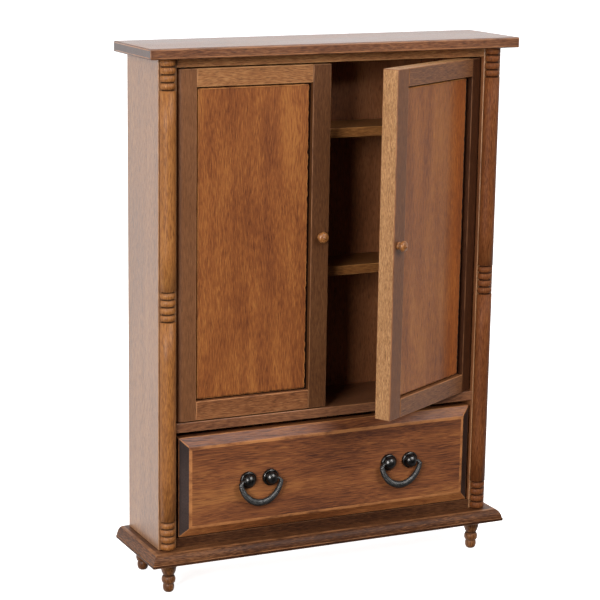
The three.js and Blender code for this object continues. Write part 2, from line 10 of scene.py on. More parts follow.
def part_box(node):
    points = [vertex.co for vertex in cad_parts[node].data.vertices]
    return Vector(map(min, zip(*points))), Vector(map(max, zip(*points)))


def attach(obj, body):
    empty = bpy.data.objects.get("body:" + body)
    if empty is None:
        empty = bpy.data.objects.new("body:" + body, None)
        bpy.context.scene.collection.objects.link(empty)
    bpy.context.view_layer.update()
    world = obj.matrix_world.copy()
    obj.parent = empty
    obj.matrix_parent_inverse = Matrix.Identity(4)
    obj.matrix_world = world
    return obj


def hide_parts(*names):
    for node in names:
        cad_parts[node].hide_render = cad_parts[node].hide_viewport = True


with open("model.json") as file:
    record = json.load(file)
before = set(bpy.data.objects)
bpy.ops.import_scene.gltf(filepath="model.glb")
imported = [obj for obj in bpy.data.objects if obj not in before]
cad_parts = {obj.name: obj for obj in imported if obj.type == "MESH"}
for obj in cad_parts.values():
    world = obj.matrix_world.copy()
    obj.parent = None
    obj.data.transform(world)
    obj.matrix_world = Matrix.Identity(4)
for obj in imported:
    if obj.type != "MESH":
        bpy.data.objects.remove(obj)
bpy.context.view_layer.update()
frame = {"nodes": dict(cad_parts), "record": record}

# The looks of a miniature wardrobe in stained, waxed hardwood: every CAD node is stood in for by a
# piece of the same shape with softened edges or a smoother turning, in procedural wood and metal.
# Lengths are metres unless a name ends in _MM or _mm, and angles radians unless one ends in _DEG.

MM = 0.001

RECORD = frame["record"]
BODY_OF = {node: body for body, nodes in RECORD["behaviour"]["bodies"].items() for node in nodes}
JOINTS = {joint["name"]: joint for joint in RECORD["behaviour"]["joints"]}

# ---- camera ---------------------------------------------------------------------------------

CAMERA_AZIMUTH_DEG = -23.5      # from straight in front, towards the viewer's left
CAMERA_ELEVATION_DEG = 13.15
CAMERA_ROLL_DEG = 0.35
CAMERA_DISTANCE = 0.6505
CAMERA_TARGET = Vector((-0.0325, 0.015, 0.0817))
CAMERA_LENS_MM = 120.2
CAMERA_SENSOR_MM = 36
CAMERA_SHIFT = (0.133, 0.050)


def make_camera():
    azimuth = math.radians(CAMERA_AZIMUTH_DEG)
    elevation = math.radians(CAMERA_ELEVATION_DEG)
    back = Vector((math.sin(azimuth) * math.cos(elevation),
                   -math.cos(azimuth) * math.cos(elevation),
                   math.sin(elevation)))
    right = Vector((math.cos(azimuth), math.sin(azimuth), 0))
    upright = Matrix((right, back.cross(right), back)).transposed()
    turned_frame = upright @ Matrix.Rotation(math.radians(CAMERA_ROLL_DEG), 3, "Z")
    data = bpy.data.cameras.new("camera")
    data.sensor_width = CAMERA_SENSOR_MM
    data.lens = CAMERA_LENS_MM
    data.shift_x, data.shift_y = CAMERA_SHIFT
    data.clip_start = 0.01
    camera = bpy.data.objects.new("camera", data)
    place = Matrix.Translation(CAMERA_TARGET + back * CAMERA_DISTANCE)
    camera.matrix_world = place @ turned_frame.to_4x4()
    bpy.context.collection.objects.link(camera)
    bpy.context.scene.camera = camera


# ---- shader helpers -------------------------------------------------------------------------

def node(tree, kind, inputs=None, **settings):
    """Adds a shader node. Each input is a value, or a socket to link from."""
    made = tree.nodes.new(kind)
    for name, value in settings.items():
        setattr(made, name, value)
    for name, value in (inputs or {}).items():
        if isinstance(value, bpy.types.NodeSocket):
            tree.links.new(value, made.inputs[name])
        else:
            made.inputs[name].default_value = value
    return made


def math_node(tree, operation, first, second=0.0, third=0.0):
    inputs = {0: first, 1: second}
    if operation == "MULTIPLY_ADD":
        inputs[2] = third
    return node(tree, "ShaderNodeMath", inputs, operation=operation).outputs[0]


def vector_node(tree, operation, first, second):
    made = node(tree, "ShaderNodeVectorMath", {0: first, 1: second}, operation=operation)
    return made.outputs[0]


def attribute(tree, name, output="Vector"):
    return node(tree, "ShaderNodeAttribute", attribute_name=name).outputs[output]


def noise(tree, vector, scale, detail=2.0, roughness=0.5, output="Fac"):
    """Noise with its own stretch: scale is cycles per millimetre along each grain axis."""
    made = node(tree, "ShaderNodeTexNoise", {
        "Vector": vector_node(tree, "MULTIPLY", vector, scale), "Scale": 1.0,
        "Detail": detail, "Roughness": roughness})
    return made.outputs[output]


def ramp(tree, factor, stops):
    """A colour ramp from (position, linear colour) stops."""
    made = node(tree, "ShaderNodeValToRGB", {"Fac": factor})
    elements = made.color_ramp.elements
    while len(elements) < len(stops):
        elements.new(0.5)
    for element, (position, colour) in zip(elements, stops):
        element.position = position
        element.color = (*colour, 1)
    return made.outputs[0]


def mix(tree, factor, first, second, blend_type="MIX"):
    made = node(tree, "ShaderNodeMix", {"Factor": factor}, data_type="RGBA", blend_type=blend_type)
    for socket, value in ((made.inputs[6], first), (made.inputs[7], second)):
        if isinstance(value, bpy.types.NodeSocket):
            tree.links.new(value, socket)
        else:
            socket.default_value = (*value, 1)
    return made.outputs[2]


def band(tree, value, low, high):
    """0 below low and 1 above high, easing between."""
    made = node(tree, "ShaderNodeMapRange", {"Value": value, "From Min": low, "From Max": high},
                interpolation_type="SMOOTHSTEP")
    return made.outputs[0]


def add_field(tree, total, field, weight):
    """Adds a field that runs from 0 to 1 to a total, so that its middle adds nothing."""
    part = math_node(tree, "MULTIPLY_ADD", field, weight, -0.5 * weight)
    return math_node(tree, "ADD", total, part)


def add_relief(tree, shader, height, strength, distance):
    surface = node(tree, "ShaderNodeBump", {
        "Height": height, "Strength": strength, "Distance": distance}).outputs[0]
    tree.links.new(surface, shader.inputs["Normal"])


def new_material(name):
    material = bpy.data.materials.new(name)
    material.use_nodes = True
    tree = material.node_tree
    return material, tree, tree.nodes["Principled BSDF"]


# ---- wood -----------------------------------------------------------------------------------

# Painted shade: the hollows of the turnings are darkened towards this colour.
PAINTED_SHADE_COLOUR = (0.022, 0.007, 0.003)
HINGE_SHADE_TINT = (1.05, 0.85, 0.55)     # painted shade by the hinge edge: what it does to the colour
HINGE_SHADE_EDGE_MM = 4.0                  # how far the change to painted shade runs to either side
COAT_ROUGHNESS = 0.25
WOOD_RELIEF = 0.06 * MM


def growth_rings(tree, place, centre, depth, lean, spacing):
    """Rings of a trunk whose heart runs behind the board, tilted: they show as arches and bands."""
    parts = node(tree, "ShaderNodeSeparateXYZ", {0: place}).outputs
    across = math_node(tree, "SUBTRACT", parts["X"], centre)
    below = math_node(tree, "MULTIPLY_ADD", parts["Z"], lean, depth)
    below = math_node(tree, "ADD", below, parts["Y"])
    square = math_node(tree, "MULTIPLY_ADD", across, across, math_node(tree, "POWER", below, 2.0))
    radius = math_node(tree, "SQRT", square)
    turns = math_node(tree, "MULTIPLY", radius, 2 * math.pi / spacing)
    return math_node(tree, "MULTIPLY_ADD", math_node(tree, "SINE", turns), 0.5, 0.5)


def wandering(tree, grain):
    """A slow sideways drift, in millimetres, that keeps the grain from running dead straight."""
    wander = noise(tree, grain, (0.05, 0.05, 0.014), output="Color")
    centred = vector_node(tree, "SUBTRACT", wander, (0.5, 0.5, 0.5))
    return vector_node(tree, "MULTIPLY", centred, (6.5, 6.5, 0.0))


def add_flecks(tree, colour, dashes, dash_mask, deep, light, flecks, pale_flecks):
    """Short dark dashes where the dash noise is high, and pale ones where it is low."""
    dark = tuple(0.40 * value for value in deep)
    colour = mix(tree, math_node(tree, "MULTIPLY", dash_mask, flecks), colour, dark)
    if pale_flecks:
        pale_mask = math_node(tree, "MULTIPLY", band(tree, dashes, 0.44, 0.30), pale_flecks)
        colour = mix(tree, pale_mask, colour, tuple(min(1.0, 1.35 * value) for value in light))
    return colour


def painted_hinge_shade(tree, colour, spot, hinge_shade_from):
    """Paints shade into the colour to the right of a line, by the hinge: gives the new colour and where
    the shade is painted.
    """
    place = node(tree, "ShaderNodeSeparateXYZ", {0: spot}).outputs["X"]
    hinge_shade = band(tree, place, hinge_shade_from - HINGE_SHADE_EDGE_MM, hinge_shade_from + HINGE_SHADE_EDGE_MM)
    warm = mix(tree, 1.0, colour, HINGE_SHADE_TINT, blend_type="MULTIPLY")
    return mix(tree, hinge_shade, colour, warm), hinge_shade


def add_wear_and_highlight(tree, colour, grain, light, wear_and_highlight):
    """Lightens the places that hands have rubbed, and paints a highlight along them."""
    rub_and_highlight_noise = noise(tree, grain, (0.30, 0.30, 0.10), detail=4, roughness=0.65)
    rubbed_and_highlit = math_node(tree, "MULTIPLY", band(tree, rub_and_highlight_noise, 0.30, 0.60), wear_and_highlight)
    bare_and_highlight_colour = (1.3 * light[0] + 0.05, 1.3 * light[1] + 0.03, 1.3 * light[2] + 0.015)
    return mix(tree, rubbed_and_highlit, colour, bare_and_highlight_colour)


def add_gloss(tree, shader, stain, fibres, shade, hinge_shade, roughness):
    """Roughness that varies with stain and fibre, and is duller in hollows and where shade is painted by
    the hinge.
    """
    gloss = math_node(tree, "MULTIPLY_ADD", stain, 0.16, roughness - 0.08)
    gloss = math_node(tree, "MULTIPLY_ADD", fibres, 0.16, math_node(tree, "SUBTRACT", gloss, 0.08))
    gloss = math_node(tree, "MULTIPLY_ADD", shade, 0.3, gloss)
    if hinge_shade is not None:
        gloss = math_node(tree, "MULTIPLY_ADD", hinge_shade, 0.5, gloss)
    tree.links.new(gloss, shader.inputs["Roughness"])


def wood(name, deep, middle, light, figure=0.3, rings=0.0, heart=(0, 30, 0.15, 6.0), fibre=0.5,
         strand=(4.4, 0.40), blotch=0.4, flecks=0.35, dash=(3.4, 0.45), pale_flecks=0.0,
         roughness=0.4, specular=0.3, coat=0.0, hinge_shade_from=None, wear_and_highlight=0.0, bump=0.5):
    """Stained, waxed hardwood. The attribute "grain" holds millimetres in the board's own axes:
    X across the face, Y through the thickness and Z along the grain, shifted for each board;
    "spot" holds the same without the shift, from the board's middle, and "shade" is 1 in hollows,
    where shade is painted into the colour.
    The weights say how much each layer shows: figure (soft bands), rings, fibre, blotch (uneven
    stain) and flecks (short dark dashes); strand and dash say how many fibres and flecks there are
    per millimetre, across and along; the wear weight lightens the rubbed places, as wear and as a
    painted highlight. Past a given number of millimetres to the right of the board's middle, shade
    by the hinge is painted into its colour, warmer and darker, and its wax is dull."""
    material, tree, shader = new_material(name)
    grain, spot = attribute(tree, "grain"), attribute(tree, "spot")
    shade = attribute(tree, "shade", "Fac")
    drift = wandering(tree, grain)
    bent = vector_node(tree, "ADD", grain, drift)
    bands = noise(tree, bent, (0.16, 0.16, 0.010), detail=4, roughness=0.55)
    fibres = noise(tree, bent, (strand[0], strand[0], strand[1]), roughness=0.6)
    stain = noise(tree, grain, (0.05, 0.05, 0.020))
    dashes = noise(tree, bent, (dash[0], dash[0], dash[1]), detail=1)
    dash_mask = band(tree, dashes, 0.56, 0.68)

    tone = math_node(tree, "MULTIPLY_ADD", bands, 2.4 * figure, 0.5 - 1.2 * figure)
    tone = add_field(tree, tone, fibres, 2.2 * fibre)
    tone = add_field(tree, tone, stain, 2.2 * blotch)
    if rings:
        ring = growth_rings(tree, vector_node(tree, "ADD", spot, drift), *heart)
        tone = add_field(tree, tone, ring, rings)
    colour = ramp(tree, tone, [(0.05, deep), (0.5, middle), (0.95, light)])
    colour = add_flecks(tree, colour, dashes, dash_mask, deep, light, flecks, pale_flecks)

    hinge_shade = None
    # Painted shade near the hinge edge of the right door's panel.
    if hinge_shade_from is not None:
        colour, hinge_shade = painted_hinge_shade(tree, colour, spot, hinge_shade_from)
    # Wear and a painted highlight on softened edges.
    if wear_and_highlight:
        colour = add_wear_and_highlight(tree, colour, grain, light, wear_and_highlight)
    # Painted shade in the grooves, from the "shade" attribute.
    colour = mix(tree, math_node(tree, "MULTIPLY", shade, 0.93), colour, PAINTED_SHADE_COLOUR)
    tree.links.new(colour, shader.inputs["Base Color"])

    add_gloss(tree, shader, stain, fibres, shade, hinge_shade, roughness)
    shader.inputs["Specular IOR Level"].default_value = specular
    shader.inputs["Coat Weight"].default_value = coat
    shader.inputs["Coat Roughness"].default_value = COAT_ROUGHNESS
    height = math_node(tree, "MULTIPLY_ADD", dash_mask, -0.5, fibres)
    add_relief(tree, shader, height, bump, WOOD_RELIEF)
    return material


# Stain tones as linear colours, each from its darkest streak to its lightest. Some kinds hold painted
# light or shade, as said above each.
WOODS = {
    "case": dict(deep=(0.080, 0.028, 0.013), middle=(0.165, 0.060, 0.025), light=(0.27, 0.112, 0.046),
                 figure=0.25, fibre=1.1, blotch=0.35, roughness=0.38, specular=0.5, coat=0.15),
    "top_end": dict(deep=(0.035, 0.018, 0.014), middle=(0.070, 0.036, 0.028),
                    light=(0.12, 0.067, 0.052), figure=0.2, fibre=0.5, blotch=0.4, roughness=0.40,
                    specular=0.5, coat=0.15),
    "base": dict(deep=(0.040, 0.013, 0.005), middle=(0.082, 0.028, 0.010), light=(0.19, 0.076, 0.029),
                 figure=0.35, fibre=1.1, blotch=0.6, flecks=0.5, roughness=0.45, specular=0.15),
    # Painted shade: the base's upright faces, its lower band, much darker than its top and bevel.
    "base_band_painted_shade": dict(deep=(0.022, 0.007, 0.003), middle=(0.045, 0.015, 0.006),
                      light=(0.090, 0.034, 0.013), figure=0.3, fibre=1.0, blotch=0.5, flecks=0.5,
                      roughness=0.5, specular=0.12),
    "floor_board": dict(deep=(0.026, 0.009, 0.004), middle=(0.052, 0.018, 0.007),
                        light=(0.095, 0.036, 0.014), figure=0.25, fibre=1.0, blotch=0.5,
                        flecks=0.4, roughness=0.5, specular=0.12),
    "side": dict(deep=(0.15, 0.062, 0.024), middle=(0.24, 0.106, 0.043), light=(0.33, 0.163, 0.073),
                 figure=0.35, fibre=1.2, blotch=0.3, flecks=0.35, roughness=0.38, specular=0.5,
                 coat=0.3, bump=0.8),
    "turned": dict(deep=(0.115, 0.036, 0.010), middle=(0.270, 0.097, 0.023),
                   light=(0.42, 0.175, 0.044), figure=0.2, fibre=0.8, blotch=0.2, flecks=0.3,
                   roughness=0.48),
    # Painted shade: the right column, shaded by the open right door, in a darker tone.
    "turned_painted_shade": dict(deep=(0.070, 0.020, 0.006), middle=(0.152, 0.045, 0.013),
                        light=(0.24, 0.084, 0.025), figure=0.2, fibre=0.8, blotch=0.2, flecks=0.3,
                        roughness=0.52, specular=0.12),
    "knob": dict(deep=(0.15, 0.050, 0.013), middle=(0.30, 0.110, 0.027), light=(0.46, 0.195, 0.052),
                 figure=0.3, fibre=1.1, blotch=0.4, flecks=0.4, roughness=0.40, specular=0.5),
    "foot": dict(deep=(0.052, 0.015, 0.005), middle=(0.130, 0.045, 0.013), light=(0.27, 0.108, 0.032),
                 figure=0.3, fibre=0.9, blotch=0.45, flecks=0.5, roughness=0.45),
    "hinge_stile": dict(deep=(0.105, 0.038, 0.013), middle=(0.160, 0.061, 0.022),
                        light=(0.22, 0.090, 0.035), figure=0.2, fibre=0.7, blotch=0.3, flecks=0.25,
                        roughness=0.5),
    "meeting_stile": dict(deep=(0.056, 0.018, 0.005), middle=(0.094, 0.032, 0.009),
                          light=(0.145, 0.055, 0.018), figure=0.2, fibre=0.8, blotch=0.3, flecks=0.3,
                          roughness=0.5),
    # Painted shade: the right door's hinge stile, beside the column, in a much darker tone.
    "hinge_stile_painted_shade": dict(deep=(0.030, 0.009, 0.003), middle=(0.050, 0.015, 0.005),
                       light=(0.084, 0.028, 0.010), figure=0.2, fibre=0.8, blotch=0.3, flecks=0.3,
                       roughness=0.52, specular=0.12),
    "far_stile": dict(deep=(0.100, 0.035, 0.013), middle=(0.160, 0.058, 0.021),
                      light=(0.23, 0.092, 0.036), figure=0.2, fibre=0.8, blotch=0.3, flecks=0.3,
                      roughness=0.5),
    "rail": dict(deep=(0.13, 0.045, 0.015), middle=(0.265, 0.104, 0.035), light=(0.38, 0.175, 0.064),
                 figure=0.25, fibre=1.0, blotch=0.35, flecks=0.4, roughness=0.46),
    "far_rail": dict(deep=(0.095, 0.032, 0.011), middle=(0.175, 0.063, 0.021),
                     light=(0.26, 0.103, 0.036), figure=0.25, fibre=1.0, blotch=0.35, flecks=0.4,
                     roughness=0.46),
    "low_rail": dict(deep=(0.10, 0.033, 0.012), middle=(0.200, 0.070, 0.024), light=(0.30, 0.124, 0.046),
                     figure=0.25, fibre=1.0, blotch=0.35, flecks=0.4, roughness=0.46),
    "panel": dict(deep=(0.125, 0.034, 0.011), middle=(0.240, 0.072, 0.018), light=(0.36, 0.133, 0.032),
                  figure=0.50, rings=0.12, heart=(-6, 26, 0.20, 7.0), fibre=0.95,
                  strand=(5.5, 0.32), blotch=0.25, flecks=0.3, dash=(4.8, 0.45), roughness=0.44),
    # Painted shade: the right door's panel turns warmer and darker towards its hinge edge, and dull
    # there.
    "far_panel": dict(deep=(0.140, 0.040, 0.011), middle=(0.265, 0.082, 0.019),
                      light=(0.39, 0.147, 0.034), figure=0.45, rings=0.12,
                      heart=(8, 30, -0.15, 6.0), fibre=0.85, strand=(5.5, 0.32), blotch=0.25,
                      flecks=0.3, dash=(4.8, 0.45), roughness=0.44, hinge_shade_from=9.5),
    # Painted shade: the tongue in the gap round each field, near black.
    "panel_tongue_painted_shade": dict(deep=(0.012, 0.005, 0.002), middle=(0.028, 0.010, 0.005),
                         light=(0.060, 0.024, 0.011), figure=0.2, fibre=0.6, roughness=0.7),
    "drawer": dict(deep=(0.068, 0.023, 0.013), middle=(0.200, 0.064, 0.023), light=(0.32, 0.122, 0.037),
                   figure=0.48, rings=0.05, heart=(4, 20, 0.10, 5.0), fibre=0.8, strand=(5.0, 0.17),
                   blotch=0.6, flecks=0.45, dash=(4.6, 0.15), roughness=0.42),
    # Painted light: the drawer front's downward-facing lower bevel, in a lighter tone.
    "drawer_low_painted_light": dict(deep=(0.12, 0.036, 0.011), middle=(0.290, 0.094, 0.028),
                       light=(0.46, 0.178, 0.055), figure=0.4, fibre=1.0, strand=(4.6, 0.20),
                       blotch=0.6, flecks=0.45, roughness=0.46),
    "end": dict(deep=(0.013, 0.007, 0.006), middle=(0.027, 0.0145, 0.0115),
                light=(0.055, 0.032, 0.027), figure=0.2, fibre=0.4, blotch=0.5, flecks=0.3,
                pale_flecks=0.12, roughness=0.45),
    # Painted light: the doors' free edges and top edges, which face the light, in a much lighter tone.
    "edge_painted_light": dict(deep=(0.25, 0.110, 0.039), middle=(0.375, 0.183, 0.072), light=(0.51, 0.275, 0.120),
                figure=0.2, fibre=1.1, blotch=0.3, flecks=0.5, dash=(5.0, 1.1), pale_flecks=0.4,
                roughness=0.5),
    "inside": dict(deep=(0.115, 0.037, 0.014), middle=(0.225, 0.077, 0.026), light=(0.33, 0.128, 0.049),
                   figure=0.25, fibre=0.6, blotch=0.5, flecks=0.4, roughness=0.6),
    "shelf": dict(deep=(0.115, 0.040, 0.011), middle=(0.220, 0.084, 0.022),
                  light=(0.33, 0.142, 0.040), figure=0.3, fibre=0.8, blotch=0.35, flecks=0.35,
                  roughness=0.5),
}
# How much the softened edges are lightened, as wear and as a painted highlight.
EDGE_WEAR_AND_HIGHLIGHT = 0.8
MATERIALS = {}


def wood_of(kind):
    if kind not in MATERIALS:
        MATERIALS[kind] = wood(f"wood_{kind}", **WOODS[kind])
    return MATERIALS[kind]


def worn_and_highlit_wood_of(kind):
    """The same wood as it looks on softened edges: lighter from wear and from a painted highlight."""
    key = f"{kind}_edge"
    if key not in MATERIALS:
        MATERIALS[key] = wood(f"wood_{key}", **WOODS[kind], wear_and_highlight=EDGE_WEAR_AND_HIGHLIGHT)
    return MATERIALS[key]


# ---- metal ----------------------------------------------------------------------------------

METALS = {
    "post": dict(dark=(0.030, 0.028, 0.027), bright=(0.12, 0.116, 0.112), roughness=0.30,
                 scratches=0.35),
    "bail": dict(dark=(0.065, 0.064, 0.062), bright=(0.145, 0.142, 0.139), roughness=0.48,
                 scratches=0.7),
    "pin": dict(dark=(0.05, 0.045, 0.04), bright=(0.12, 0.11, 0.10), roughness=0.5, scratches=0.2),
}
# Painted shade in the creases of the posts and pins.
METAL_PAINTED_SHADE_COLOUR = (0.01, 0.01, 0.01)
METAL_RELIEF = 0.04 * MM


def metal(name, dark, bright, roughness, scratches):
    """Blackened metal, rubbed bright in places, with fine tarnish; painted shade darkens it where
    "shade" is 1.
    """
    material, tree, shader = new_material(name)
    place = attribute(tree, "grain")
    shade = attribute(tree, "shade", "Fac")
    tarnish = noise(tree, place, (0.9, 0.9, 0.9), detail=4, roughness=0.6)
    colour = ramp(tree, tarnish, [(0.3, dark), (0.75, bright)])
    # Painted shade in the creases.
    colour = mix(tree, math_node(tree, "MULTIPLY", shade, 0.9), colour, METAL_PAINTED_SHADE_COLOUR)
    tree.links.new(colour, shader.inputs["Base Color"])
    shader.inputs["Metallic"].default_value = 1.0
    gloss = math_node(tree, "MULTIPLY_ADD", tarnish, 0.2, roughness - 0.1)
    tree.links.new(gloss, shader.inputs["Roughness"])
    fine = noise(tree, place, (5.0, 5.0, 5.0), detail=3)
    add_relief(tree, shader, fine, scratches, METAL_RELIEF)
    return material


def make_metals():
    for kind, look in METALS.items():
        MATERIALS[kind] = metal(f"metal_{kind}", **look)


# ---- boards ---------------------------------------------------------------------------------

WELD_DISTANCE = 0.002 * MM      # corners closer than this are one corner
ON_PLANE = 0.02 * MM            # how far a point may lie from a plane and still count as on it
EDGE_ON_PLANE = 0.05 * MM       # the same for the ends of an edge
FLAT_DEG = 0.6                  # faces that meet at less than this are one face
SHARP_DEG = 22                  # edges sharper than this are rounded over
SHORTEST_ROUNDED = 1.1 * MM
FACING = 0.9                    # a unit normal with more than this along an axis faces that way
# Which of a board's axes become the grain's X, Y and Z, by the axis that the grain runs along.
GRAIN_ORDER = {"X": (2, 1, 0), "Y": (0, 2, 1), "Z": (0, 1, 2)}
UPWARDS = Vector((0, 0, 1))


def door_frame(side_word):
    """Where a door's own axes stand at rest: the shut door's axes, turned about its pivot."""
    joint = JOINTS[f"{side_word}_door_hinge"]
    pivot = Vector(joint["pos_m"])
    shut = math.radians(joint["range_deg"][0])
    turn = Matrix.Rotation(-shut, 4, Vector(joint["axis"]))
    return Matrix.Translation(pivot) @ turn @ Matrix.Translation(-pivot)


AXES = {"carcass": Matrix.Identity(4), "drawer": Matrix.Identity(4)}
for word in ("left", "right"):
    AXES[f"{word}_door"] = door_frame(word)
    AXES[f"{word}_bail"] = Matrix.Identity(4)


def box_of(points):
    """The lowest and highest corners of some points."""
    low = Vector([min(point[i] for point in points) for i in range(3)])
    high = Vector([max(point[i] for point in points) for i in range(3)])
    return low, high


def own_points(name):
    """A node's corners in the axes of the body it belongs to, shut."""
    back = AXES[BODY_OF[name]].inverted()
    return [back @ vertex.co for vertex in frame["nodes"][name].data.vertices]


def middle_of(name):
    low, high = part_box(name)
    return (Vector(low) + Vector(high)) / 2


def mark_grain(mesh, axes, along, seed, side_along=None, shades=None):
    """Writes what the shaders read, in the board's own axes: "grain" and "spot" for each face
    corner (faces that look sideways may have their own grain direction) and "shade", which paints shade
    in hollows."""
    back = axes.inverted()
    turn = back.to_3x3()
    shift = Vector((37.0 * seed % 211, 53.0 * seed % 173, 91.0 * seed % 307))
    local = [(back @ vertex.co) / MM for vertex in mesh.vertices]
    low, high = box_of(local)
    middle = (low + high) / 2
    grain = mesh.attributes.new("grain", "FLOAT_VECTOR", "CORNER").data
    spot = mesh.attributes.new("spot", "FLOAT_VECTOR", "CORNER").data
    shade = mesh.attributes.new("shade", "FLOAT", "POINT").data
    for polygon in mesh.polygons:
        sideways = side_along and abs((turn @ polygon.normal).x) > 0.5
        order = GRAIN_ORDER[side_along if sideways else along]
        for loop in polygon.loop_indices:
            point = local[mesh.loops[loop].vertex_index]
            offset = point - middle
            grain[loop].vector = Vector([point[i] for i in order]) + shift
            spot[loop].vector = [offset[i] for i in order]
    for entry, value in zip(shade, shades or [0.0] * len(mesh.vertices)):
        entry.value = value


def finish_piece(bm, name, materials, along, seed, side_along=None, shades=None):
    """Makes the object that stands for a node, and hides the node: mesh, grain, materials and body."""
    bmesh.ops.recalc_face_normals(bm, faces=bm.faces)
    mesh = bpy.data.meshes.new(f"{name}_finished")
    bm.to_mesh(mesh)
    bm.free()
    mark_grain(mesh, AXES[BODY_OF[name]], along, seed, side_along, shades)
    for material in materials:
        mesh.materials.append(material)
    piece = bpy.data.objects.new(f"{name}_finished", mesh)
    bpy.context.collection.objects.link(piece)
    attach(piece, BODY_OF[name])
    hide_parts(name)


def clean_solid(name, other):
    """A node's CAD solid with whole flat faces; faces that pass one of the other tests are marked
    with its material."""
    turn = AXES[BODY_OF[name]].inverted().to_3x3()
    bm = bmesh.new()
    bm.from_mesh(frame["nodes"][name].data)
    bmesh.ops.remove_doubles(bm, verts=bm.verts, dist=WELD_DISTANCE)
    bmesh.ops.dissolve_limit(bm, angle_limit=math.radians(FLAT_DEG), verts=bm.verts, edges=bm.edges)
    bmesh.ops.recalc_face_normals(bm, faces=bm.faces)
    for face in bm.faces:
        face.smooth = False
        for index, (test, _) in enumerate(other):
            if test(turn @ face.normal):
                face.material_index = 2 + index
    return bm


def long_and_sharp(edge):
    return (edge.is_manifold and edge.is_convex and edge.calc_length() > SHORTEST_ROUNDED
            and edge.calc_face_angle() > math.radians(SHARP_DEG))


def round_edges(bm, size_mm, test):
    """Rounds over the long sharp edges for which the test is true, in the material that shows wear and a
    painted highlight.
    """
    chosen = [edge for edge in bm.edges if long_and_sharp(edge) and test(edge)]
    made = bmesh.ops.bevel(bm, geom=chosen, offset=size_mm * MM, offset_type="OFFSET", segments=4,
                           profile=0.5, affect="EDGES", clamp_overlap=False, material=1)
    for face in made["faces"]:
        face.smooth = face.material_index == 1


def softened(name, kind, along, seed, edge_mm=0.2, wide_mm=None, wide_test=None, other=(),
             side_along=None):
    """The CAD solid with its long outer edges rounded over; the rounded strips are worn and carry a
    painted highlight. Edges whose ends pass wide_test are rounded by wide_mm instead. other lists
    (test, kind) pairs: faces whose own-axes normal passes the test show that kind of wood."""
    bm = clean_solid(name, other)
    if wide_mm:
        back = AXES[BODY_OF[name]].inverted()
        round_edges(bm, wide_mm, lambda edge: wide_test([back @ v.co for v in edge.verts]))
    round_edges(bm, edge_mm, lambda edge: True)
    materials = [wood_of(kind), worn_and_highlit_wood_of(kind)] + [wood_of(its_kind) for _, its_kind in other]
    finish_piece(bm, name, materials, along, seed, side_along)


# ---- turnings -------------------------------------------------------------------------------

RING_STEP = 0.01 * MM           # CAD corners this close along the axis belong to one ring
ON_AXIS = 0.004 * MM            # a smaller radius is a point on the axis
CREASE_DEG = 38                 # a profile that turns by more than this keeps its corner
THINNEST_GROOVE = 1.2 * MM      # points nearer the axis close an end, and stay where they are
CROWN_REACH = 1.3 * MM          # how far from a groove its crowns are looked for


def smooth_profile(rings, steps=5):
    """Runs a Catmull-Rom curve through (radius, along) rings, keeping sharp corners sharp."""
    points = [Vector(ring) for ring in rings]
    corner = [True] * len(points)
    for i in range(1, len(points) - 1):
        before, after = points[i] - points[i - 1], points[i + 1] - points[i]
        corner[i] = before.angle(after, 0) > math.radians(CREASE_DEG)
    made = []
    for i in range(len(points) - 1):
        start, end = points[i], points[i + 1]
        before = 2 * start - end if corner[i] else points[i - 1]
        after = 2 * end - start if corner[i + 1] else points[i + 2]
        for step in range(steps):
            t = step / steps
            made.append(0.5 * ((2 * start) + (end - before) * t
                               + (2 * before - 5 * start + 4 * end - after) * t ** 2
                               + (3 * start - before - 3 * end + after) * t ** 3))
    made.append(points[-1])
    return made


def rings_of(name, centre, direction):
    """A turned node's profile, read from its CAD rings about an axis, as (radius, along)."""
    found = {}
    for vertex in frame["nodes"][name].data.vertices:
        offset = vertex.co - centre
        along = offset.dot(direction)
        radius = (offset - along * direction).length
        key = round(along / RING_STEP)
        found[key] = max(found.get(key, 0.0), radius)
    return [(radius, key * RING_STEP) for key, radius in sorted(found.items())]


def hollowness(profile, reach=1.2 * MM, start=0.08 * MM, full=0.60 * MM):
    """How deep each point of a profile lies in a groove, from 0 to 1, kept as painted shade."""
    values = []
    for radius, along in profile:
        below = max((r for r, a in profile if along - reach < a <= along), default=radius)
        above = max((r for r, a in profile if along <= a < along + reach), default=radius)
        values.append(min(1.0, max(0.0, (min(below, above) - radius - start) / (full - start))))
    return values


def deepened(rings, share):
    """The same turning with its grooves cut deeper, each by a share of its depth."""
    made = []
    for radius, along in rings:
        crown = max(r for r, a in rings if abs(a - along) < CROWN_REACH)
        deeper = radius - share * (crown - radius) if radius > THINNEST_GROOVE else radius
        made.append((deeper, along))
    return made


def spun_rows(bm, profile, centre, direction, angles):
    """A row of vertices at the given angles for each point of a profile, or just one vertex where
    the point lies on the axis."""
    across = Vector((1, 0, 0)) if abs(direction.x) < 0.7 else Vector((0, 1, 0))
    across = (across - across.dot(direction) * direction).normalized()
    side = direction.cross(across)
    rays = [math.cos(angle) * across - math.sin(angle) * side for angle in angles]
    rows = []
    for radius, along in profile:
        middle = centre + direction * along
        places = [middle] if radius < ON_AXIS else [middle + radius * ray for ray in rays]
        rows.append([bm.verts.new(place) for place in places])
    return rows


def skin(bm, rows, closed=True):
    """Smooth faces between rows of vertices; a row of one vertex is a tip."""
    count = max(len(row) for row in rows)
    faces = []
    for low, high in zip(rows, rows[1:]):
        for i in range(count if closed else count - 1):
            j = (i + 1) % count
            corners = [low[i % len(low)], low[j % len(low)], high[j % len(high)], high[i % len(high)]]
            unique = list(dict.fromkeys(corners))
            if len(unique) > 2:
                face = bm.faces.new(unique)
                face.smooth = True
                faces.append(face)
    return faces


